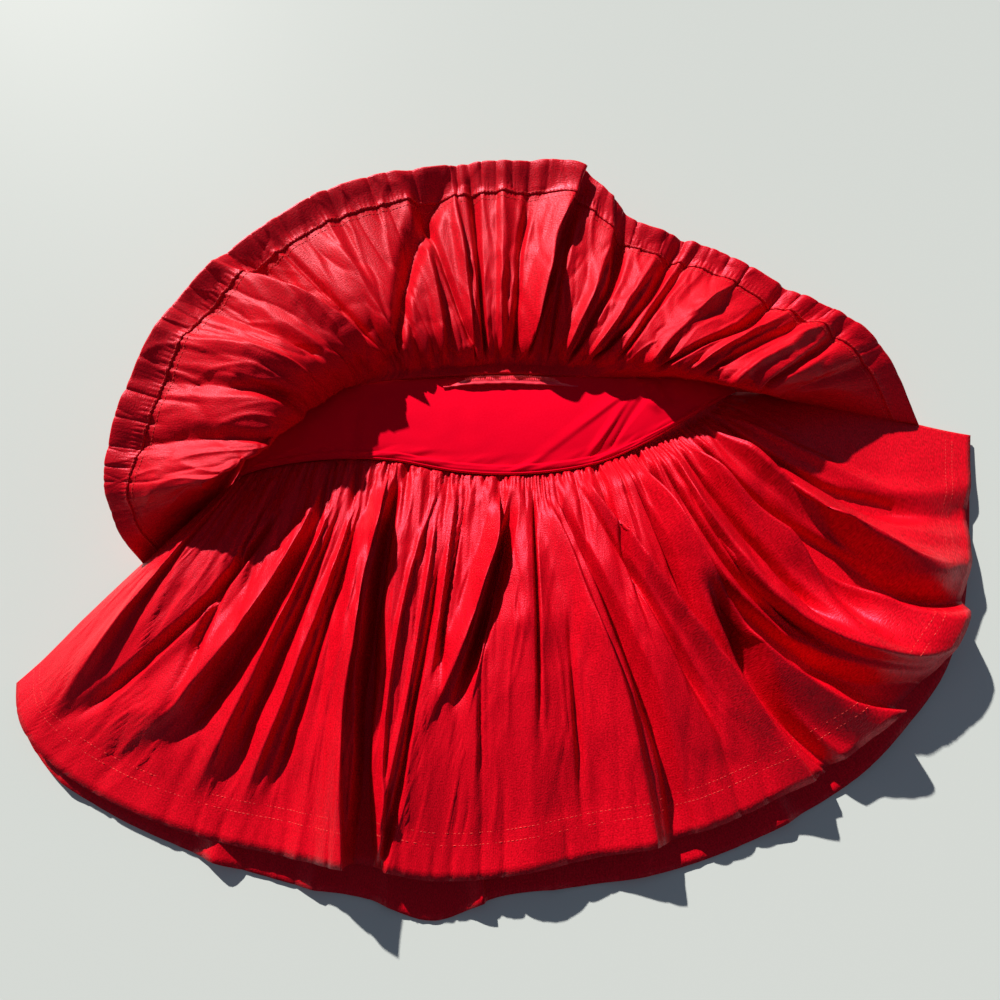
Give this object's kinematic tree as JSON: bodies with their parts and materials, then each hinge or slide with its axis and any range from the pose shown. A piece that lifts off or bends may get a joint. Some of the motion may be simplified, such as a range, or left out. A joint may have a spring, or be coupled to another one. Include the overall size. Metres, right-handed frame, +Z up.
{
  "type": "tiered mini skirt",
  "caption": "Gathered two-tier mini skirt lying flat on its back, with the front of its upper tier turned up so that the smooth yoke shows.",
  "frame": {"origin": "centre of the laid skirt's box, on the surface it lies on", "axes": "+X to the right along the waist seam, as seen from the hem; +Y from the hem towards the waist and the turned-up tier; +Z up"},
  "size_m": [0.622, 0.496, 0.0719],
  "materials": {
    "taffeta": "bright red slubbed taffeta with a soft silky sheen",
    "jersey": "smooth matte red jersey",
    "overlock_thread": "overlocked cloth edge, lighter red"
  },
  "bodies": {
    "root": {"upper_tier_back": "taffeta", "upper_tier_front": "taffeta", "lower_tier_back": "taffeta", "lower_tier_front": "taffeta", "yoke_back": "jersey", "yoke_front": "jersey", "waistband_back": "taffeta", "waistband_front": "taffeta", "waist_seam_allowance": "overlock_thread"}
  },
  "joints": []
}
